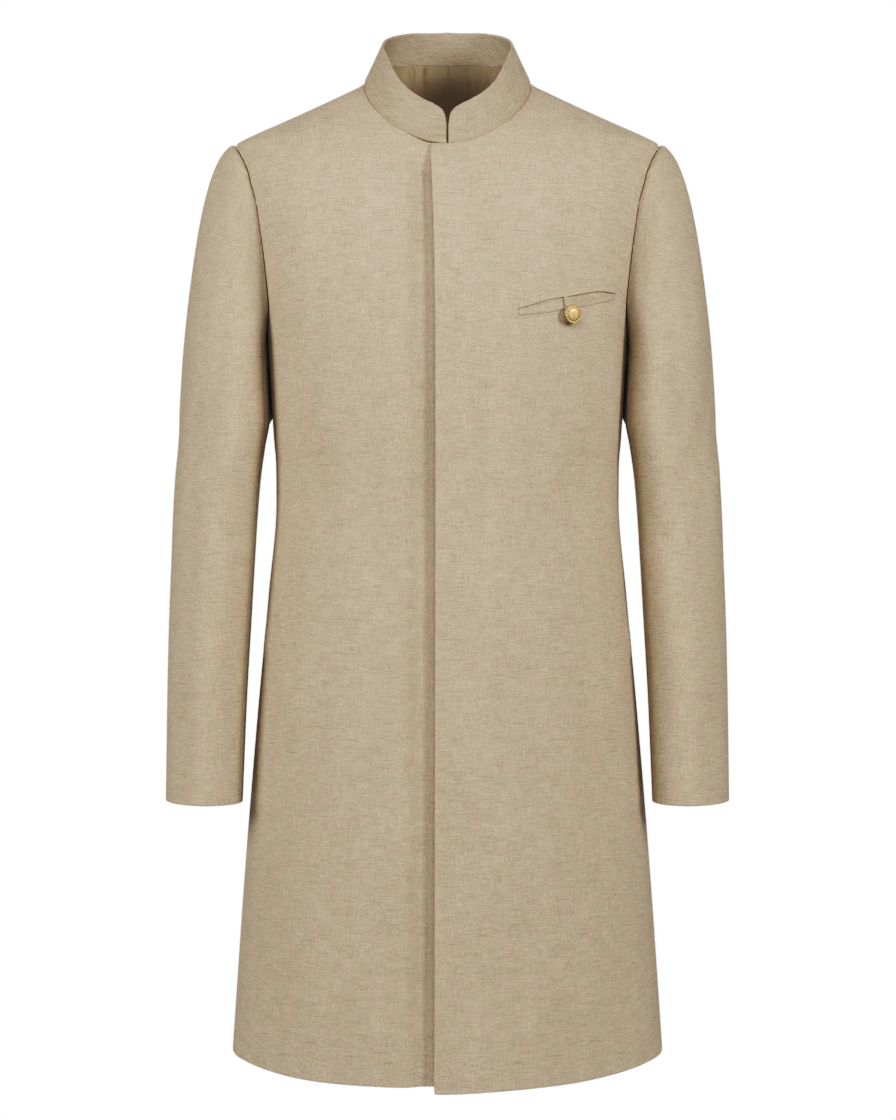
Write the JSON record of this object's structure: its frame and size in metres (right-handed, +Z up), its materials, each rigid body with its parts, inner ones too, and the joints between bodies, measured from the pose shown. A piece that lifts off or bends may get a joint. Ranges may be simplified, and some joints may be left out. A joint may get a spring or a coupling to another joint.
{
  "type": "sherwani coat",
  "caption": "Knee-length tailored linen coat with a band collar, a covered front closing, long set-in sleeves and a jetted breast pocket with a buttoned tab.",
  "frame": {"origin": "middle of the neck opening, level with where the shoulder seams meet the collar", "axes": "+Z up along the coat, +X to the wearer's left, -Y out of the front"},
  "size_m": [0.5694, 0.3003, 1.0615],
  "materials": {
    "front_left": "slubby linen weave, matt",
    "front_right": "slubby linen weave, matt",
    "back_left": "slubby linen weave, matt",
    "back_right": "slubby linen weave, matt",
    "sleeve_upper_left": "slubby linen weave, matt",
    "sleeve_upper_right": "slubby linen weave, matt",
    "sleeve_under_left": "slubby linen weave, matt",
    "sleeve_under_right": "slubby linen weave, matt",
    "collar": "slubby linen weave, matt",
    "pocket_jet_upper": "slubby linen weave, matt",
    "pocket_jet_lower": "slubby linen weave, matt",
    "pocket_tab": "slubby linen weave, matt",
    "side_pocket_left": "plain lining weave",
    "side_pocket_right": "plain lining weave",
    "neck_lining_left": "plain lining weave",
    "neck_lining_right": "plain lining weave",
    "pocket_button": "satin, domed and embossed"
  },
  "bodies": {
    "root": {"front_left": "front_left", "front_right": "front_right", "back_left": "back_left", "back_right": "back_right", "sleeve_upper_left": "sleeve_upper_left", "sleeve_upper_right": "sleeve_upper_right", "sleeve_under_left": "sleeve_under_left", "sleeve_under_right": "sleeve_under_right", "collar": "collar", "pocket_jet_upper": "pocket_jet_upper", "pocket_jet_lower": "pocket_jet_lower", "pocket_tab": "pocket_tab", "side_pocket_left": "side_pocket_left", "side_pocket_right": "side_pocket_right", "neck_lining_left": "neck_lining_left", "neck_lining_right": "neck_lining_right", "pocket_button": "pocket_button"}
  },
  "joints": []
}
